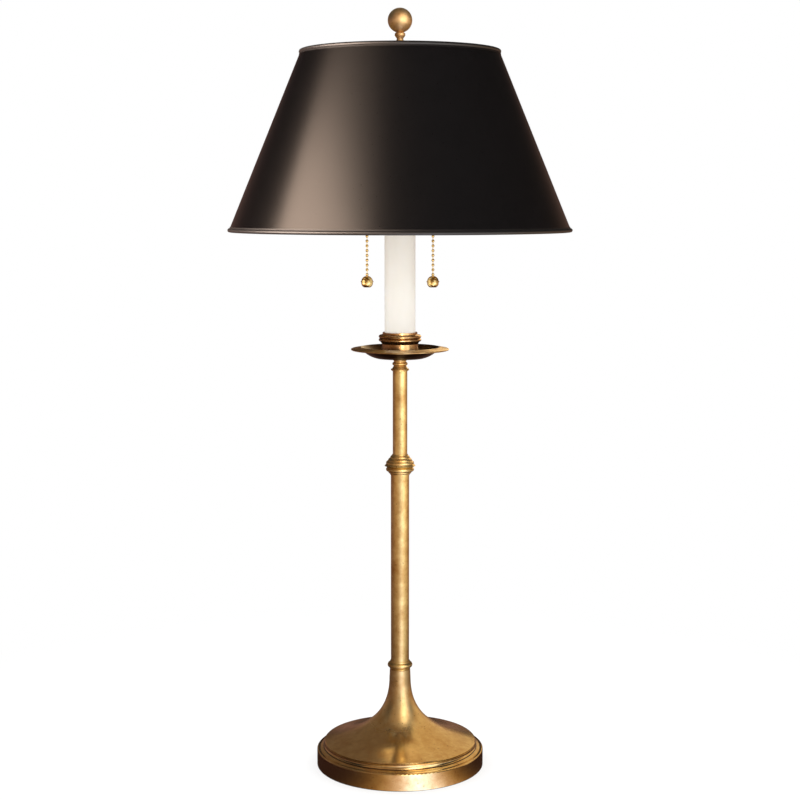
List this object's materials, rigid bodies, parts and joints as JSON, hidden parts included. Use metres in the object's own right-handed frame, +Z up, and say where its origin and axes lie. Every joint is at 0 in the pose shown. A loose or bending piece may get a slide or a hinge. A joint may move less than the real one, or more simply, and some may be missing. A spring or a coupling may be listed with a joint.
{
  "type": "table lamp",
  "caption": "Candlestick table lamp with a black cone shade and ball finial, candle sleeve, brimmed drip pan, brass stem on a weighted trumpet base, and bead pull-chain switches.",
  "frame": {"origin": "middle of the felt pad's underside, on the table", "axes": "+Z up the stem, +X towards the right-hand pull chain, -Y towards the viewer"},
  "size_m": [0.3681, 0.3682, 0.8239],
  "materials": {
    "antique_brass": "burnished antique brass, waxed",
    "bright_brass": "polished brass",
    "socket_brass": "plated brass, satin",
    "wire_brass": "brass-plated wire",
    "steel": "zinc-plated steel",
    "iron": "raw cast iron, painted black",
    "felt": "wool felt",
    "candle_white": "ivory candle sleeve, satin",
    "shade_black": "coated black paper, satin",
    "hem_black": "black paper tape, satin",
    "shade_gold": "gold paper lining",
    "black_plastic": "moulded phenolic",
    "liner_card": "insulating card",
    "bulb_metal": "rolled aluminium",
    "frosted_glass": "frosted glass"
  },
  "bodies": {
    "lamp_body": {"felt_pad": "felt", "base_shell": "antique_brass", "base_weight": "iron", "cord_bushing": "black_plastic", "bottom_washer": "steel", "bottom_nut": "steel", "threaded_pipe": "steel", "lower_collar": "antique_brass", "lower_tube": "antique_brass", "knuckle": "antique_brass", "upper_tube": "antique_brass", "pan_neck": "antique_brass", "drip_pan": "antique_brass", "candle_cup": "antique_brass", "cup_nut": "steel", "candle_sleeve": "candle_white", "sleeve_cap": "antique_brass", "cluster_body": "socket_brass", "cluster_cover": "socket_brass", "shade_rod": "socket_brass", "shade_rest": "socket_brass", "socket_nipples": "steel", "socket_washers": "steel", "left_socket_cap": "socket_brass", "left_socket_shell": "socket_brass", "left_socket_liner": "liner_card", "left_switch_body": "black_plastic", "left_screw_shell": "socket_brass", "left_centre_contact": "socket_brass", "left_chain_guide": "socket_brass", "left_lever_pin": "steel", "right_socket_cap": "socket_brass", "right_socket_shell": "socket_brass", "right_socket_liner": "liner_card", "right_switch_body": "black_plastic", "right_screw_shell": "socket_brass", "right_centre_contact": "socket_brass", "right_chain_guide": "socket_brass", "right_lever_pin": "steel"},
    "shade_body": {"shade_paper": "shade_black", "shade_lining": "shade_gold", "shade_frame": "wire_brass", "bottom_ring": "wire_brass", "top_hem": "hem_black", "bottom_hem": "hem_black"},
    "finial_screw": {"finial_base": "antique_brass"},
    "finial_top": {"finial_ball": "antique_brass"},
    "left_pull": {"left_chain_lead": "bright_brass"},
    "left_lever": {"left_switch_lever": "steel"},
    "left_chain": {"left_pull_chain": "bright_brass", "left_pull_knob": "bright_brass"},
    "left_bulb": {"left_bulb_cap": "bulb_metal", "left_bulb_glass": "frosted_glass"},
    "right_pull": {"right_chain_lead": "bright_brass"},
    "right_lever": {"right_switch_lever": "steel"},
    "right_chain": {"right_pull_chain": "bright_brass", "right_pull_knob": "bright_brass"},
    "right_bulb": {"right_bulb_cap": "bulb_metal", "right_bulb_glass": "frosted_glass"}
  },
  "joints": [
    {"name": "shade_turn", "type": "hinge", "parent": "lamp_body", "child": "shade_body", "pos_m": [0, 0, 0.7716], "axis": [0, 0, 1], "continuous": true},
    {"name": "finial_rise", "type": "slide", "parent": "lamp_body", "child": "finial_screw", "axis": [0, 0, 1], "range_m": [0, 0.01223]},
    {"name": "finial_turn", "type": "hinge", "parent": "finial_screw", "child": "finial_top", "pos_m": [0, 0, 0.8016], "axis": [0, 0, 1], "range_deg": [0, 4680]},
    {"name": "left_pull_slide", "type": "slide", "parent": "lamp_body", "child": "left_pull", "axis": [0, 0, -1], "range_m": [0, 0.008], "stiffness_N_per_m": 400, "springref_m": -0.003},
    {"name": "left_lever_turn", "type": "hinge", "parent": "lamp_body", "child": "left_lever", "pos_m": [-0.0284, 0, 0.63408], "axis": [0, -1, 0], "range_deg": [0, 59.6]},
    {"name": "left_chain_swing", "type": "hinge", "parent": "left_pull", "child": "left_chain", "pos_m": [-0.0354, 0, 0.6097], "axis": [1, 0, 0], "range_deg": [-35, 35]},
    {"name": "left_bulb_turn", "type": "hinge", "parent": "lamp_body", "child": "left_bulb", "pos_m": [-0.0467, 0, 0.6356], "axis": [-1, 0, 0], "continuous": true},
    {"name": "right_pull_slide", "type": "slide", "parent": "lamp_body", "child": "right_pull", "axis": [0, 0, -1], "range_m": [0, 0.008], "stiffness_N_per_m": 400, "springref_m": -0.003},
    {"name": "right_lever_turn", "type": "hinge", "parent": "lamp_body", "child": "right_lever", "pos_m": [0.0284, 0, 0.63408], "axis": [0, 1, 0], "range_deg": [0, 59.6]},
    {"name": "right_chain_swing", "type": "hinge", "parent": "right_pull", "child": "right_chain", "pos_m": [0.0354, 0, 0.6097], "axis": [1, 0, 0], "range_deg": [-35, 35]},
    {"name": "right_bulb_turn", "type": "hinge", "parent": "lamp_body", "child": "right_bulb", "pos_m": [0.0467, 0, 0.6356], "axis": [1, 0, 0], "continuous": true}
  ],
  "couplings": [
    {"joint": "finial_turn", "follows": "finial_rise", "rad_per_m": 6677.1},
    {"joint": "left_lever_turn", "follows": "left_pull_slide", "rad_per_m": 129.79},
    {"joint": "right_lever_turn", "follows": "right_pull_slide", "rad_per_m": 129.79}
  ]
}
